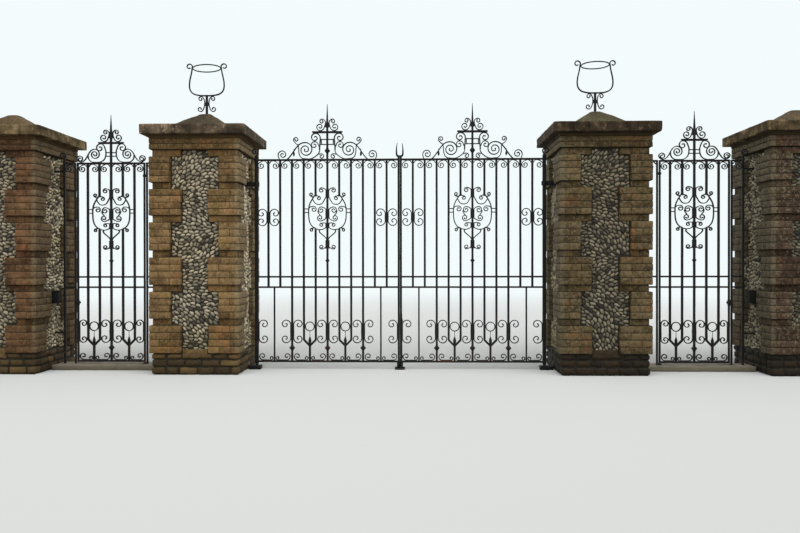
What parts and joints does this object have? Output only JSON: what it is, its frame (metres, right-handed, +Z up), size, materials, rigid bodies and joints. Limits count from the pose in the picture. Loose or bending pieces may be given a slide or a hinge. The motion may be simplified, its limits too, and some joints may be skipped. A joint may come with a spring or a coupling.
{
  "type": "wrought iron driveway gate",
  "caption": "Wrought iron driveway gate: paired main leaves and side gates hung between square brick and flint piers with stone caps and lantern cradles.",
  "frame": {"origin": "on the ground in the middle of the main opening, in the plane of the gates", "axes": "+X right as seen from inside the property, +Y away from the property towards the road, +Z up"},
  "size_m": [10.154, 1.163, 3.5515],
  "materials": {
    "iron": "old black paint, dull, with rust on the lower bars",
    "left_brick": "weathered ochre and brown brick with lime mortar",
    "right_brick": "weathered dark brown brick with lime mortar",
    "flint": "rough grey flints in lime mortar",
    "cap_stone": "weathered render with lichen and moss",
    "pale_stone": "worn pale stone",
    "black_box": "dull black"
  },
  "bodies": {
    "piers": {"left_outer_pier_core": "flint", "left_outer_pier_quoins": "left_brick", "left_outer_pier_cap": "cap_stone", "left_inner_pier_core": "flint", "left_inner_pier_quoins": "left_brick", "left_inner_pier_cap": "cap_stone", "right_inner_pier_core": "flint", "right_inner_pier_quoins": "right_brick", "right_inner_pier_cap": "cap_stone", "right_outer_pier_core": "flint", "right_outer_pier_quoins": "right_brick", "right_outer_pier_cap": "cap_stone", "left_lantern_cradle": "iron", "right_lantern_cradle": "iron", "left_hinge_irons": "iron", "right_hinge_irons": "iron", "gate_stop": "iron", "left_sill": "pale_stone", "right_sill": "pale_stone", "left_jamb_panels": "iron", "right_jamb_panels": "iron", "left_side_hinges": "iron", "right_side_hinges": "iron", "left_wall_box": "black_box", "right_wall_box": "black_box"},
    "left_leaf": {"left_leaf_heel_stile": "iron", "left_leaf_frame": "iron", "left_leaf_bay_scrolls": "iron", "left_leaf_lyre": "iron", "left_leaf_cresting": "iron", "left_leaf_lower_scrolls": "iron"},
    "right_leaf": {"right_leaf_heel_stile": "iron", "right_leaf_frame": "iron", "right_leaf_bay_scrolls": "iron", "right_leaf_lyre": "iron", "right_leaf_cresting": "iron", "right_leaf_lower_scrolls": "iron"},
    "drop_bolt": {"drop_bolt": "iron"},
    "left_side_leaf": {"left_side_stile": "iron", "left_side_frame": "iron", "left_side_lyre": "iron", "left_side_cresting": "iron", "left_side_scrolls": "iron"},
    "right_side_leaf": {"right_side_stile": "iron", "right_side_frame": "iron", "right_side_lyre": "iron", "right_side_cresting": "iron", "right_side_scrolls": "iron"}
  },
  "joints": [
    {"name": "left_leaf_hinge", "type": "hinge", "parent": "piers", "child": "left_leaf", "pos_m": [-1.662, 0, 0.03], "axis": [0, 0, -1], "range_deg": [0, 85]},
    {"name": "right_leaf_hinge", "type": "hinge", "parent": "piers", "child": "right_leaf", "pos_m": [1.662, 0, 0.03], "axis": [0, 0, 1], "range_deg": [0, 85]},
    {"name": "left_side_hinge", "type": "hinge", "parent": "piers", "child": "left_side_leaf", "pos_m": [-2.97637, 0, 0.07], "axis": [0, 0, 1], "range_deg": [0, 90]},
    {"name": "right_side_hinge", "type": "hinge", "parent": "piers", "child": "right_side_leaf", "pos_m": [2.97637, 0, 0.07], "axis": [0, 0, -1], "range_deg": [0, 90]},
    {"name": "drop_bolt_slide", "type": "slide", "parent": "right_leaf", "child": "drop_bolt", "axis": [0, 0, 1], "range_m": [0, 0.12]}
  ]
}
